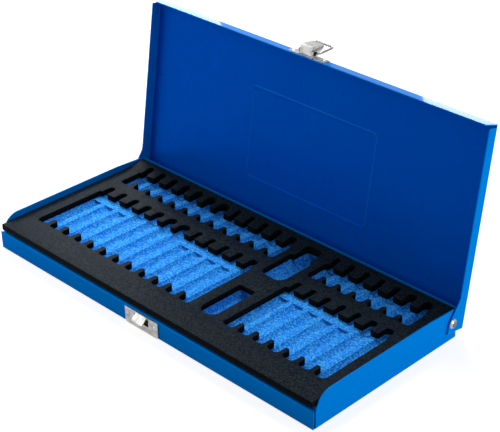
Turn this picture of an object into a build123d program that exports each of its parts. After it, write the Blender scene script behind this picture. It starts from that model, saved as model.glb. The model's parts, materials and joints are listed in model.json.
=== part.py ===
from build123d import *
import os
from math import acos, atan2, cos, degrees, hypot, radians, sin, sqrt

# A flat hinged case of folded sheet steel for long and short screwdriver bits.
# Millimetres, +Z up, +Y to the hinge side, origin at the middle of the base's underside.
# The pockets set the foam, the foam sets the base, and the base sets the lid.
# The lid is drawn shut first and then turned open about its hinge.

# Folded sheet
sheet = 0.8                    # steel thickness of the base, the lid and the latch parts
bend = 1.2                     # outside radius of a fold
corner_slit = 1.5              # open slit where two folded walls meet at a front corner
slit_relief = 0.2              # how far that slit runs into the floor past the fold

# Bit pockets, in a long row and a short row, with single recesses between left and right
pocket_width = 10.4
long_pocket = 75.9
long_tooth = 9.5
short_pocket = 32.1
short_tooth = 7.8
tip_length = 10.7              # narrow rear stretch of a pocket, for the bit's tip
left_pitch = 15.0
left_tips = (6.0, 6.0, 6.0, 6.6, 7.6, 9.0, 10.4, 4.6, 4.6, 5.0, 5.6, 7.2)
right_pitch = 14.5
right_tips = (4.8, 4.8, 4.8, 4.8, 5.0, 7.0, 7.8)
recess_width = 16.0            # front recess, and the neck of the rear one
front_recess = 44.0
rear_recess_width = 22.0
rear_recess = 35.0
rear_neck = 15.5
rear_neck_inset = 2.0          # from the short pockets' rear ends to the neck's end
recess_web = 6.7               # foam left beside the rear recess
pocket_corner = 3.0
lip_corner = 0.8
tooth_round = 0.47             # share of a tooth's width that rounds its tip
tip_round = 0.45               # share of a tip notch's width that rounds its end
recess_round = 0.48            # share of the front recess's width that rounds its front end
wide_round = 0.3               # the same for the rear recess

# Foam
left_margin = 13.8
right_margin = 11.8
front_margin = 20.8
row_gap = 10.9
rear_margin = 5.5
lower_thickness = 16.3
upper_thickness = 5.0
groove_depth = 2.6
trough_depth = 6.0
foam_side_gap = 0.8
foam_front_gap = 0.4
foam_overhang = 3.5            # upper layer's front edge over the front wall's return
foam_rear_gap = 0.6

# Base tray
front_wall_height = 15.1
wall_above_foam = 4.8          # end walls above the foam's top
end_wall_slope = 30.0          # sloped rear stretch of an end wall's top edge
end_wall_corner = 15.0         # radius of an end wall's upper front corner
front_lip = 3.4                # inward return along the top of the front wall
front_lip_end_gap = 0.5        # from the return's ends to the end walls

# Hinge
pivot_height = 14.8
pivot_setback = 6.25           # from the base's rear face forward to the hinge axis
hinge_gap = 0.7                # between an end wall and the lid's flange beside it
open_angle = 98.8
stop_gap = 0.15                # left between the lid's rear flange and the rear wall when open
swing_gap = 0.25               # left between the swinging panel and the rear wall's top
running_clearance = 0.05       # radial, on every turning pin
side_clearance = 0.1           # beside the ears, under the rivet heads and over the washers
rivet_shank = 4.0
rivet_head = 7.4
rivet_head_rise = 1.7
rivet_tail = 6.4
rivet_tail_thickness = 0.8
washer_diameter = 9.0
tail_room = 1.6                # hollow in the foam around a rivet's tail

# Lid
lid_clearance = 0.35           # between the shut panel and the tops of the end walls
lid_overhang = 4.2             # front flange ahead of the base's front wall
lid_flange = 9.2
flange_mitre = 4.5             # how far the front flange's ends are cut back at its free edge
ear_radius = 4.8               # hinge ear around the pivot
ear_reach = 18.0               # where the side flange starts to deepen into the ear
ear_blend = 10.0
frame_width = 125.0            # pressed rectangle in the panel
frame_height = 75.0
frame_shift = 7.0
frame_corner = 3.0
bead_width = 2.4
bead_rise = 0.5
bead_slope = 0.4               # bevel along the bead's edges
bead_groove = 1.2              # width of the groove that the bead leaves on the outside

# Keeper on the base
keeper_width = 35.5
keeper_low_gap = 0.6           # from the underside up to the plate
keeper_top_gap = 1.1           # from the plate up to the front wall's top
keeper_chamfer = 1.2
keeper_rivet_height = 8.0
keeper_rivet_inset = 3.6
hook_width = 11.6
hook_window_gap = 2.0
hook_root = 1.9                # from the plate's top down to the hook's inner corner
hook_fall = 3.9
hook_reach = 4.2               # from the plate's face out to the hook's inner edge
hook_clearance = 0.2           # around the bail's wire in the hook

# Small rivets through the keeper and the latch plate
small_shank = 2.4
small_head = 3.6
small_rise = 0.9
small_tail = 0.6

# Latch on the lid
latch_width = 37.0
latch_low_gap = 1.2            # from the flange's free edge up to the plate
latch_top_gap = 0.8            # from the plate up to the lid's top
latch_corner = 1.5
latch_rivet_inset = 3.4
latch_ear_wall = 0.8           # ear around the lever pin
latch_ear_gap = 0.25           # between an ear and the lever's side
ear_round = 0.96               # share of the ear's radius that rounds its end
pin_diameter = 2.4
pin_bore = 1.8
pin_head = 3.6
pin_head_thickness = 0.5
pin_out = 3.4                  # lever pin, out from the latch plate
pin_up = 1.7                   # lever pin, above the lever's closed end
lever_width = 12.4
lever_height = 8.4             # from the latch plate to the lever's outer face
lever_inset = 0.2              # lever's closed end above the flange's free edge
lever_foot_gap = 0.5           # under the lever's sides
lever_margin = 1.4             # side above the bail's hole, before it narrows
lever_tip_length = 6.0
lever_tip_height = 2.0
lever_knee = 2.4
lever_edge = 0.5
wire = 1.8
bail_ear_gap = 0.3             # between the bail's wire and the latch plate's ears
bail_side_gap = 0.85           # between the bail's legs and the pin's heads
bail_bend = 2.4
bail_end = 1.3                 # wire that stands into the lever past its side
bail_rest = 10.0               # the bail's lean at rest, out from the lever

# Working values: how far cuts run past what they cut, and how close a corner is looked for
over = 1.0
bite = 0.2
near = 0.01


def row_length(pitch, tips):
    """Length of a row of pockets, wall to wall."""
    return pitch * (len(tips) - 1) + pocket_width


# Plan, from the pockets outwards
left_row = row_length(left_pitch, left_tips)
right_row = row_length(right_pitch, right_tips)
foam_width = left_margin + left_row + 2 * recess_web + rear_recess_width + right_row + right_margin
foam_x = foam_width / 2
left_centre = -foam_x + left_margin + left_row / 2
right_centre = foam_x - right_margin - right_row / 2
recess_centre = -foam_x + left_margin + left_row + recess_web + rear_recess_width / 2
end_x = foam_x + foam_side_gap + sheet
foam_depth = front_margin + long_pocket + row_gap + short_pocket + rear_margin
base_depth = front_lip + foam_front_gap + foam_depth + foam_rear_gap + sheet
front = -base_depth / 2
rear = base_depth / 2
foam_front = front + front_lip + foam_front_gap
foam_rear = foam_front + foam_depth
long_front = foam_front + front_margin
short_front = long_front + long_pocket + row_gap
neck_end = short_front + short_pocket - rear_neck_inset
wide_end = neck_end - rear_neck
wide_front = wide_end - rear_recess

# Heights of the base and the shut lid
foam_split = sheet + lower_thickness
foam_top = foam_split + upper_thickness
end_wall_height = foam_top + wall_above_foam
panel_height = end_wall_height + lid_clearance
lid_top = panel_height + sheet
pivot_y = rear - pivot_setback
swing_radius = panel_height - pivot_height - swing_gap
rear_wall_height = pivot_height + sqrt(swing_radius ** 2 - pivot_setback ** 2)

# Outside of the lid
lid_x = end_x + hinge_gap + sheet
lid_front = front - lid_overhang
lid_rear = rear + hinge_gap + sheet
lid_middle = (lid_front + lid_rear) / 2
flange_edge = lid_top - lid_flange

# Keeper and latch
keeper_top = front_wall_height - keeper_top_gap
keeper_face = front - sheet
hook_angle = atan2(hook_fall, hook_reach)
latch_face = lid_front - sheet
latch_low = flange_edge + latch_low_gap
latch_high = lid_top - latch_top_gap
latch_middle = (latch_low + latch_high) / 2
lever_x = lever_width / 2
lever_foot = flange_edge + lever_inset
pin_y = latch_face - pin_out
pin_z = lever_foot + pin_up
latch_ear_radius = pin_diameter / 2 + latch_ear_wall
latch_ear_x = lever_x + latch_ear_gap
pin_x = latch_ear_x + sheet
bail_y = pin_y
bail_z = pin_z + latch_ear_radius + bail_ear_gap + wire / 2
bail_x = pin_x + pin_head_thickness + bail_side_gap + wire / 2


def block(x0, x1, y0, y1, z0, z1):
    """A box between two corners."""
    middle = Pos((x0 + x1) / 2, (y0 + y1) / 2, (z0 + z1) / 2)
    return middle * Box(x1 - x0, y1 - y0, z1 - z0)


def polygon(*points):
    """A flat face through the given points."""
    return make_face(Polyline(*points, close=True))


def corner_at(face, u, v):
    """The corner of a flat face nearest to a point."""
    return face.vertices().sort_by_distance((u, v, 0))[0]


def along_x(face, x0, x1):
    """A profile drawn as (Y, Z), drawn out from x0 to x1."""
    return Pos(x0, 0, 0) * extrude(Plane.YZ * face, amount=x1 - x0)


def along_y(face, y0, y1):
    """A profile drawn as (X, Z), drawn out from y0 to y1."""
    return Pos(0, y1, 0) * extrude(Plane.XZ * face, amount=y1 - y0)


def rod_x(diameter, x0, x1, y, z):
    """A round bar along X."""
    turn = Pos((x0 + x1) / 2, y, z) * Rot(0, 90, 0)
    return turn * Cylinder(diameter / 2, x1 - x0)


def rod_y(diameter, y0, y1, x, z):
    """A round bar along Y."""
    turn = Pos(x, (y0 + y1) / 2, z) * Rot(90, 0, 0)
    return turn * Cylinder(diameter / 2, y1 - y0)


def dome(diameter, rise):
    """A rivet head, flat side down on Z = 0."""
    radius = (diameter ** 2 / 4 + rise ** 2) / (2 * rise)
    ball = Pos(0, 0, rise - radius) * Sphere(radius)
    return ball & block(-diameter, diameter, -diameter, diameter, 0, rise + over)


def opened(shape):
    """Turn a piece of the shut lid to the open place."""
    out = Pos(0, pivot_y, pivot_height) * Rot(-open_angle, 0, 0)
    return out * Pos(0, -pivot_y, -pivot_height) * shape


def mirrored(shape):
    """The same piece on the other end of the case."""
    return mirror(shape, about=Plane.YZ)


# Base tray: a folded sheet with an open slit at each front corner
def make_base():
    tray = block(-end_x, end_x, front, rear, 0, end_wall_height)
    folds = tray.faces().sort_by(Axis.Z)[0].edges()
    folds += tray.edges().filter_by(Axis.Z).sort_by(Axis.Y)[-2:]
    tray = fillet(folds, bend)
    inner_x = end_x - sheet
    hollow = block(-inner_x, inner_x, front + sheet, rear - sheet, sheet, end_wall_height + over)
    folds = hollow.faces().sort_by(Axis.Z)[0].edges()
    folds += hollow.edges().filter_by(Axis.Z).sort_by(Axis.Y)[-2:]
    tray -= fillet(folds, bend - sheet)

    wall_start = front + sheet + corner_slit
    wall = polygon(
        (wall_start, -over), (wall_start, end_wall_height), (rear - end_wall_slope, end_wall_height),
        (rear, rear_wall_height), (rear, -over))
    wall = fillet(corner_at(wall, wall_start, end_wall_height), end_wall_corner)
    lip_x = end_x - sheet - front_lip_end_gap
    wall_top = front_wall_height - 2 * bend
    kept = along_x(wall, -end_x, end_x)
    kept += block(-end_x, end_x, front, wall_start, -over, wall_top)
    kept += block(-end_x, -lip_x, front, wall_start, -over, front_wall_height)
    kept += block(lip_x, end_x, front, wall_start, -over, front_wall_height)
    tray &= kept
    relief = bend + slit_relief
    for side in (-1, 1):
        x0, x1 = sorted((side * (end_x - relief), side * (end_x + over)))
        tray -= block(x0, x1, front + sheet, wall_start, -over, end_wall_height)

    inner = front + sheet
    lip_under = front_wall_height - sheet
    lip = polygon(
        (front, wall_top), (front, front_wall_height), (front + front_lip, front_wall_height),
        (front + front_lip, lip_under), (inner, lip_under), (inner, wall_top))
    lip = fillet(corner_at(lip, front, front_wall_height), bend)
    lip = fillet(corner_at(lip, inner, lip_under), bend - sheet)
    tray += along_x(lip, -lip_x, lip_x)

    tray -= rod_x(rivet_shank, -end_x - over, end_x + over, pivot_y, pivot_height)
    for x in rivet_places(keeper_width, keeper_rivet_inset):
        tray -= rod_y(small_shank, front - over, inner + over, x, keeper_rivet_height)
    return tray


# Lid: a shallow folded tray whose side flanges deepen into hinge ears
def rear_flange_edge():
    """Height at which the shut rear flange ends, so that its edge meets the rear wall when open."""
    turn = radians(open_angle)
    outer = lid_rear - pivot_y
    above = (pivot_setback + stop_gap - outer * cos(turn)) / sin(turn)
    return pivot_height + above


def lid_side():
    """Outline of a side flange and its ear, shut, as (Y, Z)."""
    start = lid_front + sheet + corner_slit
    knee = (pivot_y - ear_reach, flange_edge)
    run, rise = -ear_reach, flange_edge - pivot_height
    touch = atan2(rise, run) + acos(ear_radius / hypot(run, rise))
    touch_y, touch_z = ear_radius * cos(touch), ear_radius * sin(touch)
    slope = (touch_z - rise) / (touch_y - run)
    heel = (pivot_y + touch_y + (-ear_radius - touch_z) / slope, pivot_height - ear_radius)
    face = polygon(
        (start, lid_top + over), (start, flange_edge), knee, heel,
        (lid_rear, pivot_height - ear_radius), (lid_rear, lid_top + over))
    face = fillet(corner_at(face, *heel), ear_radius)
    face = fillet(corner_at(face, *knee), ear_blend)
    return fillet(corner_at(face, lid_rear, pivot_height - ear_radius), bend)


def frame_ring(width, z0, z1):
    """A rounded rectangular ring in the lid's panel, width wide."""
    outer = RectangleRounded(frame_width + width, frame_height + width, frame_corner + width / 2)
    outer -= RectangleRounded(frame_width - width, frame_height - width, frame_corner - width / 2)
    return Pos(frame_shift, lid_middle, z0) * extrude(outer, amount=z1 - z0)


def make_lid():
    low = pivot_height - ear_radius
    shell = block(-lid_x, lid_x, lid_front, lid_rear, low, lid_top)
    folds = shell.faces().sort_by(Axis.Z)[-1].edges()
    folds += shell.edges().filter_by(Axis.Z).sort_by(Axis.Y)[-2:]
    shell = fillet(folds, bend)
    inside = lid_x - sheet
    hollow = block(-inside, inside, lid_front + sheet, lid_rear - sheet, low - over, panel_height)
    folds = hollow.faces().sort_by(Axis.Z)[-1].edges()
    folds += hollow.edges().filter_by(Axis.Z).sort_by(Axis.Y)[-2:]
    shell -= fillet(folds, bend - sheet)

    start = lid_front + sheet + corner_slit
    kept = along_x(lid_side(), -lid_x, lid_x)
    kept += block(-lid_x, lid_x, lid_front, start, flange_edge, lid_top)
    shell &= kept
    fold_line = lid_top - bend
    for side in (-1, 1):
        x0, x1 = sorted((side * (lid_x - bend), side * (lid_x + over)))
        shell -= block(x0, x1, lid_front + sheet, start, low, fold_line)
        cut = polygon(
            (side * lid_x, fold_line), (side * (lid_x - flange_mitre), flange_edge - bite),
            (side * (lid_x + over), flange_edge - bite), (side * (lid_x + over), fold_line))
        shell -= along_y(cut, lid_front - over, lid_front + sheet + corner_slit / 2)
    rear_inner = lid_rear - sheet - bite
    shell -= block(-inside, inside, rear_inner, lid_rear + over, low - over, rear_flange_edge())

    bead = frame_ring(bead_width, panel_height - bead_rise, panel_height)
    bead = chamfer(bead.faces().sort_by(Axis.Z)[0].edges(), bead_slope)
    shell += bead
    shell -= frame_ring(bead_groove, lid_top - bead_rise, lid_top + over)

    hole = rivet_shank + 2 * running_clearance
    shell -= rod_x(hole, -lid_x - over, lid_x + over, pivot_y, pivot_height)
    for x in rivet_places(latch_width, latch_rivet_inset):
        shell -= rod_y(small_shank, lid_front - over, lid_front + sheet + over, x, latch_middle)
    return shell


# Hinge rivets and the washers that keep the ears off the end walls
def make_hinge_rivet():
    head_x = lid_x + side_clearance
    tail_x = end_x - sheet - rivet_tail_thickness
    rivet = rod_x(rivet_shank, tail_x, head_x + bite, pivot_y, pivot_height)
    rivet += rod_x(rivet_tail, tail_x, end_x - sheet, pivot_y, pivot_height)
    rivet += Pos(head_x, pivot_y, pivot_height) * Rot(0, 90, 0) * dome(rivet_head, rivet_head_rise)
    return rivet


def make_hinge_washer():
    x0, x1 = end_x, end_x + hinge_gap - side_clearance
    hole = rivet_shank + 2 * running_clearance
    washer = rod_x(washer_diameter, x0, x1, pivot_y, pivot_height)
    return washer - rod_x(hole, x0 - over, x1 + over, pivot_y, pivot_height)


# Foam: a cut-out upper layer on a grooved lower layer
def pocket_places(centre, pitch, tips):
    return [centre + (i - (len(tips) - 1) / 2) * pitch for i in range(len(tips))]


def flat(x0, x1, y0, y1):
    """A rectangle between two corners, in plan."""
    return Pos((x0 + x1) / 2, (y0 + y1) / 2) * Rectangle(x1 - x0, y1 - y0)


def comb(centre, pitch, tips, y0, length, tooth):
    """Opening over one row of pockets: fingers in front, one common stretch, tip notches behind."""
    places = pocket_places(centre, pitch, tips)
    half = pocket_width / 2
    y1, y2, y3 = y0 + tooth, y0 + length - tip_length, y0 + length
    opening = flat(places[0] - half, places[-1] + half, y1, y2)
    for x in places:
        opening += flat(x - half, x + half, y0, y1)
    for x, tip in zip(places, tips):
        opening += flat(x - tip / 2, x + tip / 2, y2, y3)
    ends = opening.vertices().filter_by_position(Axis.Y, y0 - near, y0 + near)
    opening = fillet(ends, pocket_corner)
    teeth = opening.vertices().filter_by_position(Axis.Y, y1 - near, y1 + near)
    opening = fillet(teeth, tooth_round * (pitch - pocket_width))
    inner_lip = [
        v for v in opening.vertices().filter_by_position(Axis.Y, y2 - near, y2 + near)
        if places[0] - half + near < v.X < places[-1] + half - near]
    opening = fillet(inner_lip, lip_corner)
    for x, tip in zip(places, tips):
        corners = [
            v for v in opening.vertices().filter_by_position(Axis.Y, y3 - near, y3 + near)
            if abs(v.X - x) < pitch / 2]
        opening = fillet(corners, tip_round * tip)
    return opening


def recess(width, y0, y1, front_radius, rear_radius):
    """Plan of a single recess with rounded corners."""
    half = width / 2
    face = flat(recess_centre - half, recess_centre + half, y0, y1)
    face = fillet(face.vertices().sort_by(Axis.Y)[:2], front_radius)
    return fillet(face.vertices().sort_by(Axis.Y)[-2:], rear_radius)


def recesses():
    """The two single recesses between the left and right rows."""
    small_end = long_front + front_recess
    small = recess(recess_width, long_front, small_end, recess_round * recess_width, 2 * lip_corner)
    wide = recess(rear_recess_width, wide_front, wide_end, wide_round * rear_recess_width, pocket_corner)
    neck = recess(recess_width, (wide_front + wide_end) / 2, neck_end, lip_corner, pocket_corner)
    return [small, wide + neck]


def rows():
    """The four rows of pockets as the arguments of comb."""
    for centre, pitch, tips in ((left_centre, left_pitch, left_tips), (right_centre, right_pitch, right_tips)):
        yield centre, pitch, tips, long_front, long_pocket, long_tooth
        yield centre, pitch, tips, short_front, short_pocket, short_tooth


def tail_hollows():
    """Hollows in the foam's ends that clear the rivet tails, open at the top and the rear."""
    low = pivot_height - rivet_tail / 2 - tail_room
    y0, y1 = pivot_y - rivet_tail / 2 - tail_room, foam_rear + over
    depth = rivet_tail_thickness + tail_room
    return [
        block(foam_x - depth, foam_x + over, y0, y1, low, foam_top + over),
        block(-foam_x - over, -foam_x + depth, y0, y1, low, foam_top + over)]


def make_foam_upper():
    layer = block(-foam_x, foam_x, foam_front - foam_overhang, foam_rear, foam_split, foam_top)
    cuts = [comb(*row) for row in rows()]
    cuts += recesses()
    tools = [Pos(0, 0, foam_split - over) * extrude(cut, amount=upper_thickness + 2 * over) for cut in cuts]
    return layer - (tools + tail_hollows())


def groove(x, width, y0, y1):
    """A vee groove along Y in the lower layer's top."""
    depth = groove_depth * width / pocket_width
    vee = polygon(
        (x - width / 2, foam_split), (x, foam_split - depth), (x + width / 2, foam_split),
        (x + width / 2, foam_split + over), (x - width / 2, foam_split + over))
    return along_y(vee, y0, y1)


def trough(width, y0, y1):
    """A round-bottomed trough along Y in the lower layer's top."""
    radius = (width ** 2 / 4 + trough_depth ** 2) / (2 * trough_depth)
    return rod_y(2 * radius, y0, y1, recess_centre, foam_split - trough_depth + radius)


def make_foam_lower():
    layer = block(-foam_x, foam_x, foam_front, foam_rear, sheet, foam_split)
    tools = tail_hollows()
    for centre, pitch, tips, y0, length, tooth in rows():
        y1, y2 = y0 + length - tip_length, y0 + length
        for x, tip in zip(pocket_places(centre, pitch, tips), tips):
            tools.append(groove(x, pocket_width, y0, y1))
            tools.append(groove(x, tip, y1 - bite, y2))
    tools.append(trough(recess_width, long_front, long_front + front_recess))
    tools.append(trough(rear_recess_width, wide_front, wide_end))
    tools.append(trough(recess_width, wide_end - over, neck_end))
    return layer - tools


# Keeper: a riveted plate with a hook lanced out of it
def rivet_places(width, inset):
    """X of the rivets near the ends of a plate."""
    return (inset - width / 2, width / 2 - inset)


def make_keeper():
    half = keeper_width / 2
    side = keeper_low_gap + keeper_chamfer
    plate = polygon(
        (-half, keeper_top), (half, keeper_top), (half, side), (half - keeper_chamfer, keeper_low_gap),
        (keeper_chamfer - half, keeper_low_gap), (-half, side))
    plate = along_y(plate, keeper_face, front)
    root = keeper_top - hook_root
    end_y, end_z = keeper_face - hook_reach, root - hook_fall
    window = hook_width / 2 + hook_window_gap
    plate -= block(-window, window, keeper_face - over, front + over, end_z - hook_window_gap, root)
    tab = polygon(
        (front, keeper_top), (front, root), (keeper_face, root), (end_y, end_z),
        (end_y - sheet * sin(hook_angle), end_z + sheet * cos(hook_angle)),
        (keeper_face, root + sheet / cos(hook_angle)), (keeper_face, keeper_top))
    plate += along_x(tab, -hook_width / 2, hook_width / 2)
    for x in rivet_places(keeper_width, keeper_rivet_inset):
        plate -= rod_y(small_shank, keeper_face - over, front + over, x, keeper_rivet_height)
    return plate


def make_small_rivet(x, face, inside, z):
    """A rivet through two sheets, head on the front of face, tail behind inside."""
    rivet = rod_y(small_shank, face - bite, inside + small_tail, x, z)
    rivet += Pos(x, face, z) * Rot(90, 0, 0) * dome(small_head, small_rise)
    rivet += rod_y(small_head, inside, inside + small_tail, x, z)
    return rivet


# Latch: a riveted plate with two ears, a folded lever on a hollow pin, and a wire bail
def make_latch_plate():
    half = latch_width / 2
    plate = polygon((-half, latch_low), (half, latch_low), (half, latch_high), (-half, latch_high))
    plate = along_y(fillet(plate.vertices(), latch_corner), latch_face, lid_front)
    low, high = pin_z - latch_ear_radius, pin_z + latch_ear_radius
    out = pin_y - latch_ear_radius
    ear = polygon((lid_front, latch_low), (pin_y, low), (out, low), (out, high), (lid_front, high))
    ear = fillet([corner_at(ear, out, low), corner_at(ear, out, high)], ear_round * latch_ear_radius)
    right_ear = along_x(ear, latch_ear_x, pin_x)
    plate += right_ear
    plate += mirrored(right_ear)
    plate -= rod_x(pin_diameter, -pin_x - over, pin_x + over, pin_y, pin_z)
    for x in rivet_places(latch_width, latch_rivet_inset):
        plate -= rod_y(small_shank, latch_face - over, lid_front + over, x, latch_middle)
    return plate


def make_lever_pin():
    end = pin_x + pin_head_thickness
    pin = rod_x(pin_diameter, -end, end, pin_y, pin_z)
    pin += rod_x(pin_head, pin_x, end, pin_y, pin_z)
    pin += rod_x(pin_head, -end, -pin_x, pin_y, pin_z)
    return pin - rod_x(pin_bore, -end - over, end + over, pin_y, pin_z)


def make_lever():
    outer = latch_face - lever_height
    inner = latch_face - lever_foot_gap
    knee = bail_z + wire / 2 + lever_margin
    tip = knee + lever_tip_length
    tip_inner = outer + lever_tip_height
    side = polygon((inner, lever_foot), (outer, lever_foot), (outer, tip), (tip_inner, tip), (inner, knee))
    side = fillet(corner_at(side, inner, knee), lever_knee)
    for corner in ((tip_inner, tip), (inner, lever_foot), (outer, lever_foot)):
        side = fillet(corner_at(side, *corner), sheet)
    lever = along_x(side, -lever_x, lever_x)
    web_edges = [
        e for e in lever.edges().filter_by(Axis.Z)
        if abs(e.center().Y - outer) < near and abs(abs(e.center().X) - lever_x) < near]
    lever = fillet(web_edges, lever_edge)
    clear = lever_x - sheet
    lever -= block(-clear, clear, outer + sheet, latch_face + over, lever_foot + sheet, tip + over)
    through = lever_x + over
    lever -= rod_x(pin_diameter + 2 * running_clearance, -through, through, pin_y, pin_z)
    lever -= rod_x(wire + 2 * running_clearance, -through, through, bail_y, bail_z)
    return lever


def hooked_crossbar():
    """Centre of the bail's crossbar when it is drawn up into the hook, with the lid shut."""
    gap = wire / 2 + hook_clearance
    drop = gap * (1 + sin(hook_angle)) / cos(hook_angle)
    return keeper_face - gap, keeper_top - hook_root - drop


def bail_length():
    """From the bail's turning point to its crossbar."""
    y, z = hooked_crossbar()
    return hypot(y - bail_y, z - bail_z)


def make_bail():
    lean = radians(bail_rest)
    far_y = bail_y - bail_length() * sin(lean)
    far_z = bail_z + bail_length() * cos(lean)
    end = lever_x - bail_end
    half = [(end, bail_y, bail_z), (bail_x, bail_y, bail_z), (bail_x, far_y, far_z)]
    path = FilletPolyline(*half, *[(-x, y, z) for x, y, z in reversed(half)], radius=bail_bend)
    section = Plane(origin=half[0], z_dir=(1, 0, 0)) * Circle(wire / 2)
    return sweep(section, path=path)


hinge_rivet = make_hinge_rivet()
hinge_washer = make_hinge_washer()
pieces = {
    "base_tray": make_base(),
    "foam_lower": make_foam_lower(),
    "foam_upper": make_foam_upper(),
    "hinge_rivet_right": hinge_rivet,
    "hinge_rivet_left": mirrored(hinge_rivet),
    "hinge_washer_right": hinge_washer,
    "hinge_washer_left": mirrored(hinge_washer),
    "keeper_plate": make_keeper(),
    "lid_shell": opened(make_lid()),
    "latch_plate": opened(make_latch_plate()),
    "lever_pin": opened(make_lever_pin()),
    "latch_lever": opened(make_lever()),
    "wire_bail": opened(make_bail()),
}
for name, x in zip(("left", "right"), rivet_places(keeper_width, keeper_rivet_inset)):
    pieces["keeper_rivet_" + name] = make_small_rivet(x, keeper_face, front + sheet, keeper_rivet_height)
for name, x in zip(("left", "right"), rivet_places(latch_width, latch_rivet_inset)):
    pieces["latch_rivet_" + name] = opened(make_small_rivet(x, latch_face, lid_front + sheet, latch_middle))

os.makedirs("parts", exist_ok=True)
for name, shape in pieces.items():
    export_step(shape, "parts/" + name + ".step")

# Places that the joints turn about, with the lid open
turn = radians(-open_angle)
for label, y, z in (("hinge", pivot_y, pivot_height), ("lever pin", pin_y, pin_z), ("bail", bail_y, bail_z)):
    dy, dz = y - pivot_y, z - pivot_height
    place = (pivot_y + dy * cos(turn) - dz * sin(turn), pivot_height + dy * sin(turn) + dz * cos(turn))
    print(label, "axis at y = %.4f, z = %.4f" % place)
hook_y, hook_z = hooked_crossbar()
swing = 180 + degrees(atan2(hook_y - bail_y, bail_z - hook_z)) - bail_rest
print("bail length %.3f, swing to the hook %.2f degrees" % (bail_length(), swing))
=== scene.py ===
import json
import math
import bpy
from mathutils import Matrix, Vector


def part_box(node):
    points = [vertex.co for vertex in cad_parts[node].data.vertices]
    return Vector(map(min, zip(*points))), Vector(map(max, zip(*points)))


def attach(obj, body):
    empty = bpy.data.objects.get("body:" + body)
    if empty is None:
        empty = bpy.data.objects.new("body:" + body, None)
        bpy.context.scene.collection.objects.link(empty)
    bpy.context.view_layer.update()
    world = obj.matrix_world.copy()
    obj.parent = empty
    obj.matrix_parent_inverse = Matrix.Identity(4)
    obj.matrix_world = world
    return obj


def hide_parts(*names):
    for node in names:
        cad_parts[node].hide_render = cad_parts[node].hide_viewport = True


bl_info = {
    "name": "Bit storage case",
    "version": (1, 0, 0),
    "blender": (4, 5, 0),
    "location": "View3D > Sidebar > Bit case",
    "description": "Dresses a folded steel bit case: gloss paint, cut foam, plated latch and a studio",
    "category": "Object",
}

import bpy
from bpy.props import FloatProperty, FloatVectorProperty, PointerProperty
from bpy.types import Operator, Panel, PropertyGroup
from mathutils import Matrix, Vector

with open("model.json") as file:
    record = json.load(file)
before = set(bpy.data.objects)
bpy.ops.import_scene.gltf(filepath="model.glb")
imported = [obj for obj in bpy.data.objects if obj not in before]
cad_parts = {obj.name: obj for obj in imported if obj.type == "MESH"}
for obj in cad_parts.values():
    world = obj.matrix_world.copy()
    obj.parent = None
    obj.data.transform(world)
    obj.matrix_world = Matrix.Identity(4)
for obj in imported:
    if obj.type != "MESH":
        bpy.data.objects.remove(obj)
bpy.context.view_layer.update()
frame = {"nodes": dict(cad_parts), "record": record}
MM = 0.001

# Modelling values
WELD = 0.002 * MM              # vertices of a CAD mesh closer than this are one
FLAT_ANGLE = 0.5               # degrees; faces that bend less than this are joined
SHEET_SMOOTH = 35              # degrees; sharper edges of sheet and rivets stay sharp
FOAM_SMOOTH = 40               # the same for foam
OVERRUN = 2 * MM               # how far a cutter runs past what it cuts
LAP = 1 * MM                   # how far one trough runs into the next
FRONT_BAND = 1 * MM            # faces this close to the lower layer's front are its outside
NEAR_WALL = 0.3 * MM           # faces this close to the front wall's plane lie on it

# Foam cut-outs
POCKET_CORNER = 3.0 * MM       # front corners of a pocket, rear corners of the rear recess
LIP_CORNER = 1.0 * MM          # outer corners of a row where its tip notches start
SHOULDER = 0.8 * MM            # largest rounding beside a tip notch
SHOULDER_SHARE = 0.9           # share of the room beside a tip notch that its rounding takes
TOOTH_ROUND = 0.47             # share of a tooth's width that rounds its end
TIP_ROUND = 0.45               # share of a tip notch's width that rounds its end
THIN_TIP = 6.5 * MM            # pockets with a narrower tip notch have a shelf
RECESS_ROUND = 0.96            # share of the front recess's half width that rounds its front
WIDE_ROUND = 0.6               # the same for the rear recess
RECESS_CORNER = 1.6 * MM       # rear corners of the front recess
NECK_SHOULDER = 1.2 * MM       # corners between the rear recess and its neck
CLIMB_STEPS = 6                # cuts along the climbing stretch of the upper layer
TROUGH_STEPS = 16              # straight pieces across a round trough
TROUGH_EDGE = 0.45 * MM        # rounding along the lower layer's edges
END_FACE_SHADE = 0.5                 # painted shade: brightness of the blue foam's cut end faces that face the front

# Widths of the tip notches behind the pockets, left to right
LEFT_TIPS = [w * MM for w in (6.0, 6.0, 6.0, 6.6, 7.6, 9.0, 10.4, 4.6, 4.6, 5.0, 5.6, 7.2)]
RIGHT_TIPS = [w * MM for w in (4.8, 4.8, 4.8, 4.8, 5.0, 7.0, 7.8)]


def length(name, description, default):
    """A size in metres that the sidebar shows as a distance."""
    return FloatProperty(name=name, description=description, default=default,
                         unit="LENGTH", subtype="DISTANCE")


def share(name, description, default):
    """A value from 0 to 1."""
    return FloatProperty(name=name, description=description, default=default, min=0.0, max=1.0,
                         subtype="FACTOR")


def colour(name, description, default):
    """A linear colour."""
    return FloatVectorProperty(name=name, description=description, default=default, size=3,
                               min=0.0, max=1.0, subtype="COLOR")


def watts(name, description, default):
    """A light's power."""
    return FloatProperty(name=name, description=description + " in watts", default=default)


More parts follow.
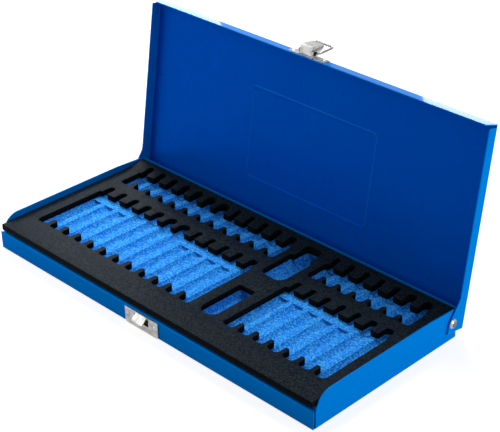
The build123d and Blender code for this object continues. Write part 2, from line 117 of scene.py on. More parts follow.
class PaintSettings(PropertyGroup):
    """Gloss paint on the folded sheet."""

    tone: colour("Paint", "Colour of the paint outside", (0.0, 0.205, 0.69))
    # Painted shade: the lid's inside gets this darker copy of the paint, standing in for the shade inside the
    # open lid, not for thicker paint.
    shade_tone: colour("Deep paint", "Colour of the paint inside, where it lies thicker", (0.0, 0.088, 0.54))
    tint: colour("Tint", "Colour that the paint gives to what it mirrors", (0.0, 0.30, 1.0))
    roughness: share("Roughness", "Roughness of the paint", 0.30)
    metallic: share("Metallic", "Share of metal flake in the paint", 0.15)
    coat: share("Coat", "Clear gloss that shows at a flat angle", 0.42)
    sway: length("Sheet sway", "Size of the shallow waves in the flat sheet", 90 * MM)


class FoamSettings(PropertyGroup):
    """The two layers of cut foam."""

    skin: colour("Black foam", "Colour of the upper layer's skin", (0.0060, 0.0105, 0.0155))
    cut: colour("Cut black foam", "Colour of the upper layer's cut walls", (0.0030, 0.0036, 0.0045))
    blue: colour("Blue foam", "Colour of the lower layer", (0.006, 0.275, 0.93))
    # Partly painted shade: the darker tone of the foam's own cell mottle, which also stands in for the shade
    # in the open cells.
    shade_tone: colour("Deep blue foam", "Colour of the lower layer between its cells", (0.001, 0.115, 0.72))
    pale: colour("Blue foam cells", "Colour of the open cells that catch the light", (0.08, 0.52, 0.96))
    cell: length("Cell", "Size of a foam cell", 0.55 * MM)
    pocket: length("Pocket width", "Width of one pocket", 10.4 * MM)
    long_pocket: length("Long pocket", "Length of a long pocket with its tip", 75.9 * MM)
    long_tooth: length("Long tooth", "Length of the teeth in front of the long pockets", 9.5 * MM)
    short_pocket: length("Short pocket", "Length of a short pocket with its tip", 32.1 * MM)
    short_tooth: length("Short tooth", "Length of the teeth in front of the short pockets", 7.8 * MM)
    tip: length("Tip notch", "Length of the narrow rear end of a pocket", 10.7 * MM)
    left_pitch: length("Left pitch", "Distance between the left pockets", 15.0 * MM)
    right_pitch: length("Right pitch", "Distance between the right pockets", 14.5 * MM)
    left_margin: length("Left margin", "Foam beside the left row", 13.8 * MM)
    right_margin: length("Right margin", "Foam beside the right row", 11.8 * MM)
    front_margin: length("Front margin", "Foam in front of the long row", 20.8 * MM)
    row_gap: length("Row gap", "Foam between the long and the short row", 10.9 * MM)
    recess: length("Recess width", "Width of the front recess and of the rear one's neck", 16.0 * MM)
    front_recess: length("Front recess", "Length of the front recess", 44.0 * MM)
    rear_recess_width: length("Rear recess width", "Width of the rear recess", 22.0 * MM)
    rear_recess: length("Rear recess", "Length of the rear recess without its neck", 35.0 * MM)
    neck: length("Neck", "Length of the rear recess's neck", 15.5 * MM)
    neck_inset: length("Neck inset", "From the short pockets' rear ends to the neck's end", 2.0 * MM)
    groove: length("Groove depth", "Depth of the round grooves in the lower layer", 2.6 * MM)
    shelf: length("Shelf", "Flat stretch behind the grooves of the thin bits", 7.5 * MM)
    trough: length("Trough depth", "Depth of the recesses in the lower layer", 6.0 * MM)
    round_edge: length("Rounded edge", "Rounding along the cut edges of the skin", 0.35 * MM)
    rise: length("Rear rise", "How far the upper layer climbs at the rear wall", 2.4 * MM)
    rise_run: length("Rise run", "Depth over which the upper layer climbs", 22 * MM)


class PlateSettings(PropertyGroup):
    """Plated steel of the latch, keeper and rivets."""

    tone: colour("Plating", "Colour of the plating", (0.47, 0.465, 0.46))
    dull: colour("Dull plating", "Colour of the plating where it is handled", (0.24, 0.24, 0.22))
    roughness: share("Roughness", "Roughness of the plating", 0.26)
    grain: length("Grain", "Spacing of the fine rolling marks", 0.25 * MM)
    # Painted shade: the dark colour of the shaded hollow behind the keeper's window and of the lever pin's
    # hole.
    hole_shade: colour("Bare steel", "Colour of bare steel in the keeper's window", (0.010, 0.011, 0.013))
    worn: colour("Worn rivet", "Colour of the middle of the hinge rivets", (0.27, 0.215, 0.15))
    worn_radius: length("Worn radius", "Radius of the worn middle of a hinge rivet", 2.35 * MM)
    # Painted shade: a darker copy of the plating for the bail's wire, standing in for the shade on it.
    wire: colour("Wire", "Colour of the bail's wire", (0.27, 0.27, 0.26))
    # Painted shade: the middle of the lever's pin is painted dark for its shaded hole, not blackened.
    bore_shade_radius: length("Bore radius", "Radius of the blackened middle of the lever's pin", 1.35 * MM)
    window: length("Window width", "Width of the keeper's window", 16.0 * MM)
    window_top: length("Window top", "From the keeper's top down to its window", 1.0 * MM)
    window_bottom: length("Window bottom", "From the keeper's top down to the window's lower edge", 8.2 * MM)


class StudioSettings(PropertyGroup):
    """Floor, lights and camera."""

    floor: colour("Floor", "Colour of the floor", (0.42, 0.42, 0.42))
    glow: share("Floor glow", "Light added to the floor where it is seen or mirrored", 0.80)
    near: length("Near floor", "Distance from the middle up to which the floor keeps its own glow", 0.5)
    far: length("Far floor", "Distance from which the floor is as white as the background", 1.4)
    azimuth: FloatProperty(name="Azimuth", description="Camera's turn from the front to the right",
                           default=math.radians(45.41), subtype="ANGLE", unit="ROTATION")
    elevation: FloatProperty(name="Elevation", description="Camera's height above the horizon",
                             default=math.radians(29.69), subtype="ANGLE", unit="ROTATION")
    roll: FloatProperty(name="Roll", description="Camera's roll", default=math.radians(-0.86),
                        subtype="ANGLE", unit="ROTATION")
    distance: length("Distance", "From the camera to the point that it looks at", 1.0)
    look_at: FloatVectorProperty(name="Look at", description="Point that the camera looks at",
                                 default=(0.04983, -0.01315, 0.08938), size=3,
                                 subtype="TRANSLATION", unit="LENGTH")
    lens: FloatProperty(name="Lens", description="Focal length in millimetres on a 36 mm sensor",
                        default=102.96)
    key: watts("Key light", "Power of the light at the right", 3.0)
    low: watts("Low light", "Power of the low light on the right end", 1.25)
    fill: watts("Fill light", "Power of the light at the front left", 3.1)
    top: watts("Top light", "Power of the light above", 6.6)
    rim: watts("Rim light", "Power of the light at the rear left", 6.0)
    strip: watts("Strip lights", "Power of each light behind the lid", 0.42)
    sky: FloatProperty(name="Sky", description="Strength of the soft light from all round", default=0.22)


# Selection and small modelling tools

def deselect():
    """Leave edit mode and deselect every object."""
    active = bpy.context.view_layer.objects.active
    if active is not None and active.mode != "OBJECT":
        bpy.ops.object.mode_set(mode="OBJECT")
    bpy.ops.object.select_all(action="DESELECT")


def activate(obj):
    """Select one object alone and make it active."""
    deselect()
    obj.select_set(True)
    bpy.context.view_layer.objects.active = obj


def apply_modifier(obj, kind, **values):
    """Add a modifier with these values and apply it."""
    activate(obj)
    bpy.ops.object.modifier_add(type=kind)
    modifier = obj.modifiers[-1]
    for key, value in values.items():
        setattr(modifier, key, value)
    bpy.ops.object.modifier_apply(modifier=modifier.name)


def add_block(name, low, high):
    """A box between two corners, with its place in its mesh."""
    deselect()
    low, high = Vector(low), Vector(high)
    bpy.ops.mesh.primitive_cube_add(size=1.0, location=(low + high) / 2)
    obj = bpy.context.object
    obj.name = obj.data.name = name
    obj.scale = high - low
    bpy.ops.object.transform_apply(location=True, rotation=True, scale=True)
    return obj


def add_prism(name, outline, place, rise):
    """A prism over a closed outline, drawn out along rise; place turns an outline point into the frame."""
    deselect()
    bpy.ops.mesh.primitive_circle_add(vertices=len(outline), fill_type="NGON")
    obj = bpy.context.object
    obj.name = obj.data.name = name
    for vertex, point in zip(obj.data.vertices, outline):
        vertex.co = place(*point)
    bpy.ops.object.transform_apply(location=True, rotation=True, scale=True)
    bpy.ops.object.mode_set(mode="EDIT")
    bpy.ops.mesh.select_all(action="SELECT")
    bpy.ops.mesh.extrude_region_move(TRANSFORM_OT_translate={"value": rise})
    bpy.ops.mesh.select_all(action="SELECT")
    bpy.ops.mesh.normals_make_consistent(inside=False)
    bpy.ops.object.mode_set(mode="OBJECT")
    return obj


def cut(obj, cutter):
    """Take the cutter away from an object, and delete the cutter."""
    apply_modifier(obj, "BOOLEAN", operation="DIFFERENCE", solver="EXACT", object=cutter)
    bpy.data.objects.remove(cutter, do_unlink=True)


def smooth(obj, degrees):
    """Smooth shading except at edges sharper than this."""
    activate(obj)
    bpy.ops.object.shade_smooth_by_angle(angle=math.radians(degrees))


def rounded(corners, steps=5):
    """Outline points through (u, v, radius) corners, each rounded by an arc of its radius."""
    points = []
    count = len(corners)
    for i, (u, v, radius) in enumerate(corners):
        here = Vector((u, v))
        before = (Vector(corners[i - 1][:2]) - here).normalized()
        after = (Vector(corners[(i + 1) % count][:2]) - here).normalized()
        if radius <= 0:
            points.append((u, v))
            continue
        half = before.angle(after) / 2
        reach = radius / math.tan(half)
        centre = here + (before + after).normalized() * (radius / math.sin(half))
        start = here + before * reach - centre
        sweep = start.angle_signed(here + after * reach - centre)
        for k in range(steps + 1):
            turn = -sweep * k / steps
            point = centre + Matrix.Rotation(turn, 2) @ start
            points.append((point.x, point.y))
    return points


def skin_of(node, name, body):
    """A merged copy of a CAD node's mesh, smooth except at its sharp edges, which stands for the node."""
    deselect()
    source = frame["nodes"][node]
    obj = bpy.data.objects.new(name, source.data.copy())
    obj.data.name = name
    bpy.context.scene.collection.objects.link(obj)
    obj.data.materials.clear()
    activate(obj)
    bpy.ops.object.mode_set(mode="EDIT")
    bpy.ops.mesh.select_all(action="SELECT")
    bpy.ops.mesh.remove_doubles(threshold=WELD)
    bpy.ops.mesh.customdata_custom_splitnormals_clear()
    bpy.ops.mesh.dissolve_limited(angle_limit=math.radians(FLAT_ANGLE))
    bpy.ops.object.mode_set(mode="OBJECT")
    smooth(obj, SHEET_SMOOTH)
    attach(obj, body)
    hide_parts(node)
    return obj


# Materials

class Shader:
    """A new node material with its Principled shader and short ways to add nodes."""

    def __init__(self, name):
        self.material = bpy.data.materials.new(name)
        self.material.use_nodes = True
        self.tree = self.material.node_tree
        self.principled = self.tree.nodes["Principled BSDF"]
        coordinates = self.add("ShaderNodeTexCoord")
        self.place = coordinates.outputs["Object"]

    def add(self, kind, **values):
        """Add a node; values set its inputs by name, or its own settings."""
        made = self.tree.nodes.new(kind)
        for key, value in values.items():
            name = key.replace("_", " ").title()
            target = made.inputs.get(name)
            if target is None:
                setattr(made, key, value)
            elif isinstance(value, bpy.types.NodeSocket):
                self.tree.links.new(value, target)
            else:
                target.default_value = value
        return made

    def noise(self, size, detail=2.0, rough=0.5, stretch=(1, 1, 1)):
        """Noise of a given size in metres; stretch lengthens it along an axis."""
        spread = self.add("ShaderNodeMapping", scale=[1.0 / (size * s) for s in stretch])
        self.tree.links.new(self.place, spread.inputs["Vector"])
        made = self.add("ShaderNodeTexNoise", scale=1.0, detail=detail, roughness=rough)
        self.tree.links.new(spread.outputs["Vector"], made.inputs["Vector"])
        return made.outputs["Fac"]

    def cells(self, size, feature="F1"):
        """Distance to the nearest cell centre, for cells of a given size in metres."""
        made = self.add("ShaderNodeTexVoronoi", feature=feature, scale=1.0 / size)
        self.tree.links.new(self.place, made.inputs["Vector"])
        return made.outputs["Distance"]

    def remap(self, value, low, high, to_low=0.0, to_high=1.0):
        """Take a value's range to another one."""
        made = self.add("ShaderNodeMapRange")
        for socket, number in zip(made.inputs[1:5], (low, high, to_low, to_high)):
            socket.default_value = number
        self.tree.links.new(value, made.inputs["Value"])
        return made.outputs["Result"]

    def mix(self, factor, first, second):
        """Mix two colours by a factor."""
        made = self.tree.nodes.new("ShaderNodeMix")
        made.data_type = "RGBA"
        self.tree.links.new(factor, made.inputs[0])
        for socket, value in ((made.inputs[6], first), (made.inputs[7], second)):
            if isinstance(value, bpy.types.NodeSocket):
                self.tree.links.new(value, socket)
            else:
                socket.default_value = (*value, 1.0)
        return made.outputs[2]

    def bump(self, height, distance, strength=1.0, under=None):
        """Bump of a height map whose full range is a distance in metres."""
        made = self.add("ShaderNodeBump")
        made.inputs["Strength"].default_value = strength
        made.inputs["Distance"].default_value = distance
        self.tree.links.new(height, made.inputs["Height"])
        if under is not None:
            self.tree.links.new(under, made.inputs["Normal"])
        return made.outputs["Normal"]

    def finish(self, **values):
        """Set the Principled shader's inputs to numbers, colours or other nodes' outputs."""
        for key, value in values.items():
            target = self.principled.inputs[key.replace("_", " ")]
            if isinstance(value, bpy.types.NodeSocket):
                self.tree.links.new(value, target)
            elif target.type == "RGBA":
                target.default_value = (*value, 1.0)
            else:
                target.default_value = value
        return self.material


def gloss_paint(name, tone, paint):
    """Gloss paint over slightly wavy sheet, with clear gloss that shows at a flat angle."""
    shader = Shader(name)
    shade = shader.mix(shader.noise(60 * MM), [0.92 * c for c in tone], tone)
    sway = shader.bump(shader.noise(paint.sway, detail=1.0), 0.1 * MM)
    smears = shader.noise(12 * MM, detail=3.0)
    rough = shader.remap(smears, 0.3, 0.7, paint.roughness - 0.04, paint.roughness + 0.04)
    facing = shader.add("ShaderNodeLayerWeight").outputs["Facing"]
    coat = shader.remap(facing, 0.56, 0.67, 0.0, paint.coat)
    return shader.finish(Base_Color=shade, Metallic=paint.metallic, Roughness=rough, Normal=sway,
                         Specular_IOR_Level=0.0, Specular_Tint=paint.tint, Coat_Weight=coat,
                         Coat_Roughness=0.05)


def foam_skin(foam):
    """The upper layer's black skin with fine closed cells."""
    shader = Shader("black_foam_skin")
    speckle = shader.noise(1.2 * MM, detail=2.0, rough=0.6)
    bloom = shader.noise(35 * MM, detail=2.0)
    dark, pale = ([level * c for c in foam.skin] for level in (0.15, 2.6))
    tone = shader.mix(shader.remap(speckle, 0.38, 0.64), dark, pale)
    tone = shader.mix(shader.remap(bloom, 0.35, 0.75, 0.0, 0.5), tone, foam.skin)
    pores = shader.bump(shader.cells(1.5 * foam.cell), 0.06 * MM, 0.5)
    grain = shader.bump(speckle, 0.10 * MM, 0.6, under=pores)
    return shader.finish(Base_Color=tone, Roughness=0.50, Normal=grain, Specular_IOR_Level=0.022)


def foam_cut(foam):
    """The upper layer's cut walls, with torn cells."""
    shader = Shader("black_foam_cut")
    speckle = shader.noise(0.8 * MM, detail=3.0, rough=0.7)
    dark, pale = ([level * c for c in foam.cut] for level in (0.4, 1.5))
    tone = shader.mix(shader.remap(speckle, 0.3, 0.7), dark, pale)
    torn = shader.bump(shader.cells(0.7 * MM), 0.25 * MM, 0.8)
    return shader.finish(Base_Color=tone, Roughness=0.92, Normal=torn, Specular_IOR_Level=0.05)


def blue_foam(name, level, foam):
    """The lower layer's bright blue foam with open cells; a lower level paints shade on the cut end faces."""
    shader = Shader(name)
    cells = shader.cells(1.5 * foam.cell)
    speckle = shader.noise(1.4 * MM, detail=2.0, rough=0.6)
    middle, dark, pale = ([level * c for c in tone] for tone in (foam.blue, foam.shade_tone, foam.pale))
    # The darker tone between the cells is the foam's own mottle and also painted shade in the open cells.
    tone = shader.mix(shader.remap(cells, 0.20, 0.80), middle, dark)
    tone = shader.mix(shader.remap(speckle, 0.44, 0.64), tone, pale)
    open_cells = shader.bump(cells, 0.25 * MM, 0.5)
    rough = shader.bump(speckle, 0.35 * MM, 0.5, under=open_cells)
    return shader.finish(Base_Color=tone, Roughness=0.85, Normal=rough, Specular_IOR_Level=0.10)


def plating(name, tone, plate):
    """Plated steel with faint rolling marks and handled patches."""
    shader = Shader(name)
    marks = shader.noise(plate.grain, detail=2.0, stretch=(14, 1, 1))
    patches = shader.noise(5 * MM, detail=3.0, rough=0.6)
    shade = [c * d / p for c, d, p in zip(tone, plate.dull, plate.tone)]
    tone = shader.mix(shader.remap(patches, 0.42, 0.74), tone, shade)
    rough = shader.remap(patches, 0.3, 0.75, plate.roughness - 0.06, plate.roughness + 0.14)
    fine = shader.bump(marks, 0.01 * MM, 0.5)
    return shader.finish(Base_Color=tone, Metallic=1.0, Roughness=rough, Normal=fine)


def worn_steel(plate):
    """Brownish steel where the plating of a rivet has worn through."""
    shader = Shader("worn_steel")
    blots = shader.remap(shader.noise(1.2 * MM, detail=3.0), 0.38, 0.62)
    tone = shader.mix(blots, [0.3 * c for c in plate.worn], plate.worn)
    return shader.finish(Base_Color=tone, Metallic=0.3, Roughness=0.6, Specular_IOR_Level=0.2)


def bare_wall(plate):
    """Painted shade: a flat dark colour for the shaded hollow behind the keeper's window and in the hole of
    the lever's pin.
    """
    shader = Shader("bare_wall")
    tone = shader.mix(shader.noise(2 * MM), [0.6 * c for c in plate.hole_shade], plate.hole_shade)
    return shader.finish(Base_Color=tone, Roughness=0.7, Specular_IOR_Level=0.1)


def seen_rays(tree):
    """One for rays from the camera, a mirror or glass, and zero for the rest."""
    path = tree.nodes.new("ShaderNodeLightPath")
    found = path.outputs["Is Camera Ray"]
    for name in ("Is Glossy Ray", "Is Transmission Ray"):
        larger = tree.nodes.new("ShaderNodeMath")
        larger.operation = "MAXIMUM"
        tree.links.new(found, larger.inputs[0])
        tree.links.new(path.outputs[name], larger.inputs[1])
        found = larger.outputs[0]
    return found


def studio_floor(tone, glow_level, near, far):
    """A pale floor that looks white, keeps the object's shadow and meets the white background far away."""
    material = bpy.data.materials.new("studio_floor")
    material.use_nodes = True
    tree = material.node_tree
    tree.nodes.clear()
    place = tree.nodes.new("ShaderNodeTexCoord").outputs["Object"]
    away = tree.nodes.new("ShaderNodeVectorMath")
    away.operation = "LENGTH"
    tree.links.new(place, away.inputs[0])
    level = tree.nodes.new("ShaderNodeMapRange")
    for socket, number in zip(level.inputs[1:5], (near, far, glow_level, 1.0)):
        socket.default_value = number
    tree.links.new(away.outputs["Value"], level.inputs["Value"])
    strength = tree.nodes.new("ShaderNodeMath")
    strength.operation = "MULTIPLY"
    tree.links.new(seen_rays(tree), strength.inputs[0])
    tree.links.new(level.outputs["Result"], strength.inputs[1])
    glow = tree.nodes.new("ShaderNodeEmission")
    tree.links.new(strength.outputs[0], glow.inputs["Strength"])
    lit = tree.nodes.new("ShaderNodeBsdfDiffuse")
    lit.inputs["Color"].default_value = (*tone, 1.0)
    both = tree.nodes.new("ShaderNodeAddShader")
    tree.links.new(lit.outputs[0], both.inputs[0])
    tree.links.new(glow.outputs[0], both.inputs[1])
    output = tree.nodes.new("ShaderNodeOutputMaterial")
    tree.links.new(both.outputs[0], output.inputs["Surface"])
    return material


def shared_material(name, make, *settings):
    """The named material, made on first use."""
    return bpy.data.materials.get(name) or make(*settings)


def coat_with_paint(obj, paint):
    """Paint a folded shell."""
    outer_paint = shared_material("paint_outside", gloss_paint, "paint_outside", paint.tone, paint)
    obj.data.materials.append(outer_paint)


# Plan of the foam

class Row:
    """One row of pockets: places, tip widths and the lines across it."""

    def __init__(self, foam, left, long):
        low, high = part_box("foam_lower")
        self.tips = LEFT_TIPS if left else RIGHT_TIPS
        self.stepped = [long and tip < THIN_TIP for tip in self.tips]
        pitch = foam.left_pitch if left else foam.right_pitch
        run = pitch * (len(self.tips) - 1)
        first = low.x + foam.left_margin if left else high.x - foam.right_margin - run - foam.pocket
        self.half = foam.pocket / 2
        self.places = [first + self.half + i * pitch for i in range(len(self.tips))]
        self.web = pitch - foam.pocket
        long_front = low.y + foam.front_margin
        self.front = long_front if long else long_front + foam.long_pocket + foam.row_gap
        self.end = self.front + (foam.long_pocket if long else foam.short_pocket)
        self.teeth = self.front + (foam.long_tooth if long else foam.short_tooth)
        self.lip = self.end - foam.tip

    def corners(self):
        """Corners of the opening as (x, y, radius), counter-clockwise from the front left."""
        found = []
        last = len(self.places) - 1
        for i, x in enumerate(self.places):
            if i > 0:
                found.append((x - self.half, self.teeth, TOOTH_ROUND * self.web))
            found.append((x - self.half, self.front, POCKET_CORNER))
            found.append((x + self.half, self.front, POCKET_CORNER))
            if i < last:
                found.append((x + self.half, self.teeth, TOOTH_ROUND * self.web))
        found.append((self.places[-1] + self.half, self.lip, LIP_CORNER))
        for x, tip in reversed(list(zip(self.places, self.tips))):
            room = max(0.0, self.half + self.web / 2 - tip / 2)
            shoulder = min(SHOULDER, room * SHOULDER_SHARE)
            found.append((x + tip / 2, self.lip, shoulder))
            found.append((x + tip / 2, self.end, TIP_ROUND * tip))
            found.append((x - tip / 2, self.end, TIP_ROUND * tip))
            found.append((x - tip / 2, self.lip, shoulder))
        found.append((self.places[0] - self.half, self.lip, LIP_CORNER))
        return found


def rows(foam):
    """The long and short rows on the left and the right."""
    return [Row(foam, left, long) for left in (True, False) for long in (True, False)]


class Recesses:
    """Lines of the two single recesses between the left and right rows."""

    def __init__(self, foam):
        left = Row(foam, True, True)
        right = Row(foam, False, True)
        short = Row(foam, True, False)
        self.x = (left.places[-1] + right.places[0]) / 2
        self.front = left.front
        self.front_end = left.front + foam.front_recess
        self.neck_end = short.end - foam.neck_inset
        self.wide_end = self.neck_end - foam.neck
        self.wide_front = self.wide_end - foam.rear_recess


class CASE_OT_base(Operator):
    """Paint the folded base tray"""

    bl_idname = "bitcase.base"
    bl_label = "Base tray"

    def paint_window_shade(self, tray, plate):
        """Paint shade on the front wall where it shows through the keeper's window."""
        keeper_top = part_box("keeper_plate")[1].z
        half = plate.window / 2
        top, bottom = keeper_top - plate.window_top, keeper_top - plate.window_bottom
        activate(tray)
        bpy.ops.object.mode_set(mode="EDIT")
        for place, way in (((-half, 0, 0), (1, 0, 0)), ((half, 0, 0), (1, 0, 0)),
                           ((0, 0, bottom), (0, 0, 1)), ((0, 0, top), (0, 0, 1))):
            bpy.ops.mesh.select_all(action="SELECT")
            bpy.ops.mesh.bisect(plane_co=place, plane_no=way)
        bpy.ops.object.mode_set(mode="OBJECT")
        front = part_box("base_tray")[0].y
        for face in tray.data.polygons:
            spot = face.center
            on_wall = face.normal.y < -0.9 and abs(spot.y - front) < NEAR_WALL
            if on_wall and abs(spot.x) < half and bottom < spot.z < top:
                face.material_index = 1

    def execute(self, context):
        tray = skin_of("base_tray", "base_skin", "base")
        self.paint_window_shade(tray, context.scene.case_plate)
        coat_with_paint(tray, context.scene.case_paint)
        tray.data.materials.append(shared_material("bare_wall", bare_wall, context.scene.case_plate))
        return {"FINISHED"}


class CASE_OT_lid(Operator):
    """Paint the folded lid"""

    bl_idname = "bitcase.lid"
    bl_label = "Lid"

    def execute(self, context):
        paint = context.scene.case_paint
        lid = skin_of("lid_shell", "lid_skin", "lid")
        low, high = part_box("lid_shell")
        coat_with_paint(lid, paint)
        # Painted shade: the lid's inner faces, apart from its side flanges, get the darker copy of the paint.
        shaded_inner_paint = shared_material("paint_inside", gloss_paint, "paint_inside", paint.shade_tone, paint)
        lid.data.materials.append(shaded_inner_paint)
        inside = (low + high) / 2
        for face in lid.data.polygons:
            inner = face.normal.dot(inside - face.center) > 0 and abs(face.normal.x) < 0.7
            face.material_index = 1 if inner else 0
        return {"FINISHED"}


class CASE_OT_foam_upper(Operator):
    """Cut the black upper foam layer"""

    bl_idname = "bitcase.foam_upper"
    bl_label = "Upper foam"

    def climb(self, layer, foam, low, high):
        """Let the layer's top climb smoothly toward the rear wall."""
        start = high.y - foam.rise_run
        activate(layer)
        bpy.ops.object.mode_set(mode="EDIT")
        for k in range(CLIMB_STEPS):
            bpy.ops.mesh.select_all(action="SELECT")
            bpy.ops.mesh.bisect(plane_co=(0, start + foam.rise_run * k / CLIMB_STEPS, 0), plane_no=(0, 1, 0))
        bpy.ops.object.mode_set(mode="OBJECT")
        middle = (low.z + high.z) / 2
        for vertex in layer.data.vertices:
            way = (vertex.co.y - start) / foam.rise_run
            if way > 0 and vertex.co.z > middle:
                vertex.co.z += foam.rise * way * way * (3 - 2 * way)

    def execute(self, context):
        foam = context.scene.case_foam
        low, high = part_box("foam_upper")
        layer = add_block("foam_upper_layer", low, high)
        rise = (0, 0, high.z - low.z + 2 * OVERRUN)

        def place(x, y):
            return (x, y, low.z - OVERRUN)

        for row in rows(foam):
            cut(layer, add_prism("pocket_cutter", rounded(row.corners()), place, rise))
        spot = Recesses(foam)
        half, wide = foam.recess / 2, foam.rear_recess_width / 2
        small = [(spot.x - half, spot.front, RECESS_ROUND * half),
                 (spot.x + half, spot.front, RECESS_ROUND * half),
                 (spot.x + half, spot.front_end, RECESS_CORNER),
                 (spot.x - half, spot.front_end, RECESS_CORNER)]
        cut(layer, add_prism("recess_cutter", rounded(small, 8), place, rise))
        large = [(spot.x - wide, spot.wide_front, WIDE_ROUND * wide),
                 (spot.x + wide, spot.wide_front, WIDE_ROUND * wide),
                 (spot.x + wide, spot.wide_end, NECK_SHOULDER), (spot.x + half, spot.wide_end, NECK_SHOULDER),
                 (spot.x + half, spot.neck_end, POCKET_CORNER), (spot.x - half, spot.neck_end, POCKET_CORNER),
                 (spot.x - half, spot.wide_end, NECK_SHOULDER), (spot.x - wide, spot.wide_end, NECK_SHOULDER)]
        cut(layer, add_prism("recess_cutter", rounded(large, 8), place, rise))
        self.climb(layer, foam, low, high)
        apply_modifier(layer, "BEVEL", width=foam.round_edge, segments=3, limit_method="ANGLE",
                       angle_limit=math.radians(50), use_clamp_overlap=False)
        layer.data.materials.append(shared_material("black_foam_skin", foam_skin, foam))
        layer.data.materials.append(shared_material("black_foam_cut", foam_cut, foam))
        for face in layer.data.polygons:
            face.material_index = 0 if face.normal.z > 0.7 else 1
        smooth(layer, FOAM_SMOOTH)
        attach(layer, "base")
        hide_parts("foam_upper")
        return {"FINISHED"}


class CASE_OT_foam_lower(Operator):
    """Groove the blue lower foam layer"""

    bl_idname = "bitcase.foam_lower"
    bl_label = "Lower foam"

    def trough_cutter(self, x, width, depth, y0, y1, top):
        """A round-bottomed trough from y0 to y1."""
        radius = (width ** 2 / 4 + depth ** 2) / (2 * depth)
        reach = math.asin(width / 2 / radius)
        centre = top - depth + radius
        line = []
        for k in range(TROUGH_STEPS + 1):
            turn = -reach + 2 * reach * k / TROUGH_STEPS
            line.append((x + radius * math.sin(turn), centre - radius * math.cos(turn)))
        line += [(x + width / 2, top + OVERRUN), (x - width / 2, top + OVERRUN)]
        return add_prism("trough_cutter", line, lambda x, z: (x, y0, z), (0, y1 - y0, 0))

    def execute(self, context):
        foam = context.scene.case_foam
        low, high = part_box("foam_lower")
        layer = add_block("foam_lower_layer", low, high)
        for row in rows(foam):
            for x, tip, stepped in zip(row.places, row.tips, row.stepped):
                shelf = foam.shelf if stepped else 0.0
                shallow = foam.groove * tip / foam.pocket
                for width, depth, y0, y1 in ((foam.pocket, foam.groove, row.front, row.lip - shelf),
                                             (tip, shallow, row.lip - LAP, row.end)):
                    cut(layer, self.trough_cutter(x, width, depth, y0, y1, high.z))
        spot = Recesses(foam)
        for width, y0, y1 in ((foam.recess, spot.front, spot.front_end),
                              (foam.rear_recess_width, spot.wide_front, spot.wide_end),
                              (foam.recess, spot.wide_end - LAP, spot.neck_end)):
            cut(layer, self.trough_cutter(spot.x, width, foam.trough, y0, y1, high.z))
        apply_modifier(layer, "BEVEL", width=TROUGH_EDGE, segments=3, limit_method="ANGLE",
                       angle_limit=math.radians(22), use_clamp_overlap=True)
        for name, level in (("blue_foam_cells", 1.0), ("blue_foam_end", END_FACE_SHADE)):
            layer.data.materials.append(shared_material(name, blue_foam, name, level, foam))
        for face in layer.data.polygons:
            # Painted shade: the cut end faces that face the front, apart from the layer's outer front, get
            # the dimmer copy.
            face.material_index = 1 if face.normal.y < -0.9 and face.center.y > low.y + FRONT_BAND else 0
        smooth(layer, FOAM_SMOOTH)
        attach(layer, "base")
        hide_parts("foam_lower")
        return {"FINISHED"}


class CASE_OT_hardware(Operator):
    """Plate the hinge rivets, keeper, latch, lever and bail"""

    bl_idname = "bitcase.hardware"
    bl_label = "Hardware"

    def mark(self, piece, node, radius, material):
        """Give the middle of a round end, or the hollow in it, its own material."""
        piece.data.materials.append(material)
        low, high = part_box(node)
        middle = (low + high) / 2
        for face in piece.data.polygons:
            off = face.center - middle
            if math.hypot(off.y, off.z) < radius:
                face.material_index = 1

    def execute(self, context):
        plate = context.scene.case_plate
        bodies = frame["record"]["behaviour"]["bodies"]
        skinned = ("base_tray", "lid_shell", "foam_upper", "foam_lower")
        for body, nodes in bodies.items():
            for node in nodes:
                if node in skinned:
                    continue
                piece = skin_of(node, node + "_plated", body)
                wire = node == "wire_bail"
                # Painted shade: the bail's wire gets the darker copy of the plating.
                finish, tone = ("wire_plating", plate.wire) if wire else ("bright_plating", plate.tone)
                piece.data.materials.append(shared_material(finish, plating, finish, tone, plate))
                if node.startswith("hinge_rivet"):
                    worn = shared_material("worn_steel", worn_steel, plate)
                    self.mark(piece, node, plate.worn_radius, worn)
                # Painted shade: the middle of the lever's pin gets the dark colour of its shaded hole.
                if node == "lever_pin":
                    dark = shared_material("bare_wall", bare_wall, plate)
                    self.mark(piece, node, plate.bore_shade_radius, dark)
        return {"FINISHED"}


# Each light's name, the setting with its power, its size, its place and its aim, in metres
LIGHTS = (
    ("key_light", "key", (0.8, 0.8), (1.2, 0.10, 0.42), (0.1, 0.02, 0.05)),
    ("low_light", "low", (0.25, 0.05), (0.62, 0.17, 0.045), (0.16, 0.0, 0.03)),
    ("fill_light", "fill", (0.9, 0.8), (-0.66, -0.38, 0.44), (-0.10, 0, 0.05)),
    ("top_light", "top", (0.3, 0.3), (-0.25, 0.48, 1.1), (0, 0, 0)),
    ("rim_light", "rim", (0.40, 0.40), (-0.76, 0.44, 0.60), (-0.10, 0, 0.02)),
    ("left_strip", "strip", (0.155, 0.14), (-0.711, 0.649, 0.291), (-0.150, 0.0935, 0.166)),
    ("right_strip", "strip", (0.137, 0.14), (-0.258, 0.759, 0.316), (0.160, 0.0935, 0.166)),
)
FLOOR_SIZE = 8.0
FLOOR_DROP = 0.3 * MM          # floor below the underside, so that the two don't share a plane
SENSOR = 36.0                  # camera's sensor width in millimetres
CLIP = (0.01, 20.0)            # nearest and farthest distance that the camera shows


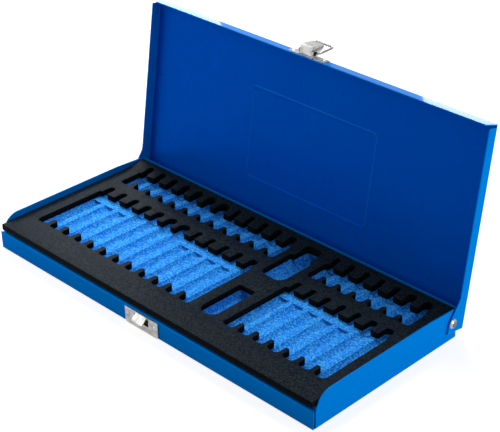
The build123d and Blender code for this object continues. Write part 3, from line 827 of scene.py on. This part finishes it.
class CASE_OT_stage(Operator):
    """Set up the floor, the lights and the camera"""

    bl_idname = "bitcase.stage"
    bl_label = "Studio"

    def light(self, name, power, size, place, aim):
        """A soft white light at a place, turned to a point."""
        deselect()
        bpy.ops.object.light_add(type="AREA", location=place)
        lamp = bpy.context.object
        lamp.name = name
        lamp.data.energy = power
        lamp.data.shape = "RECTANGLE"
        lamp.data.size, lamp.data.size_y = size
        lamp.rotation_euler = (Vector(aim) - Vector(place)).to_track_quat("-Z", "Y").to_euler()

    def camera(self, studio):
        deselect()
        bpy.ops.object.camera_add()
        camera = bpy.context.object
        a, e = studio.azimuth, studio.elevation
        back = Vector((math.sin(a) * math.cos(e), -math.cos(a) * math.cos(e), math.sin(e)))
        turn = (-back).to_track_quat("-Z", "Y").to_matrix() @ Matrix.Rotation(studio.roll, 3, "Z")
        spot = Vector(studio.look_at) + back * studio.distance
        camera.matrix_world = Matrix.Translation(spot) @ turn.to_4x4()
        camera.data.lens = studio.lens
        camera.data.sensor_width = SENSOR
        camera.data.clip_start, camera.data.clip_end = CLIP
        bpy.context.scene.camera = camera

    def sky(self, strength):
        """Soft light from all round, white where it is seen or mirrored."""
        world = bpy.data.worlds.new("studio_sky")
        bpy.context.scene.world = world
        world.use_nodes = True
        tree = world.node_tree
        background = tree.nodes["Background"]
        background.inputs["Color"].default_value = (1, 1, 1, 1)
        level = tree.nodes.new("ShaderNodeMapRange")
        level.inputs["To Min"].default_value = strength
        level.inputs["To Max"].default_value = 1.0
        tree.links.new(seen_rays(tree), level.inputs["Value"])
        tree.links.new(level.outputs["Result"], background.inputs["Strength"])

    def execute(self, context):
        studio = context.scene.case_studio
        deselect()
        bpy.ops.mesh.primitive_plane_add(size=FLOOR_SIZE, location=(0, 0, -FLOOR_DROP))
        floor = bpy.context.object
        floor.name = "studio_floor"
        bpy.ops.object.transform_apply(location=True)
        floor.data.materials.append(studio_floor(studio.floor, studio.glow, studio.near, studio.far))
        for name, power, size, place, aim in LIGHTS:
            self.light(name, getattr(studio, power), size, place, aim)
        self.sky(studio.sky)
        self.camera(studio)
        context.scene.view_settings.view_transform = "Standard"
        return {"FINISHED"}


STEPS = (CASE_OT_base, CASE_OT_lid, CASE_OT_foam_upper, CASE_OT_foam_lower, CASE_OT_hardware, CASE_OT_stage)


class CASE_PT_panel(Panel):
    """Steps and settings of the case"""

    bl_label = "Bit storage case"
    bl_idname = "CASE_PT_panel"
    bl_space_type = "VIEW_3D"
    bl_region_type = "UI"
    bl_category = "Bit case"

    def draw(self, context):
        for step in STEPS:
            self.layout.operator(step.bl_idname)
        for group in ("case_paint", "case_foam", "case_plate", "case_studio"):
            settings = getattr(context.scene, group)
            for key in settings.__annotations__:
                self.layout.prop(settings, key)


GROUPS = {"case_paint": PaintSettings, "case_foam": FoamSettings, "case_plate": PlateSettings,
          "case_studio": StudioSettings}
CLASSES = (*GROUPS.values(), *STEPS, CASE_PT_panel)


def register():
    for made in CLASSES:
        bpy.utils.register_class(made)
    for name, group in GROUPS.items():
        setattr(bpy.types.Scene, name, PointerProperty(type=group))


def unregister():
    for name in GROUPS:
        delattr(bpy.types.Scene, name)
    for made in reversed(CLASSES):
        bpy.utils.unregister_class(made)


def main():
    """Build the case step by step."""
    register()
    bpy.ops.bitcase.base()
    bpy.ops.bitcase.lid()
    bpy.ops.bitcase.foam_upper()
    bpy.ops.bitcase.foam_lower()
    bpy.ops.bitcase.hardware()
    bpy.ops.bitcase.stage()


if __name__ == "__main__":
    main()
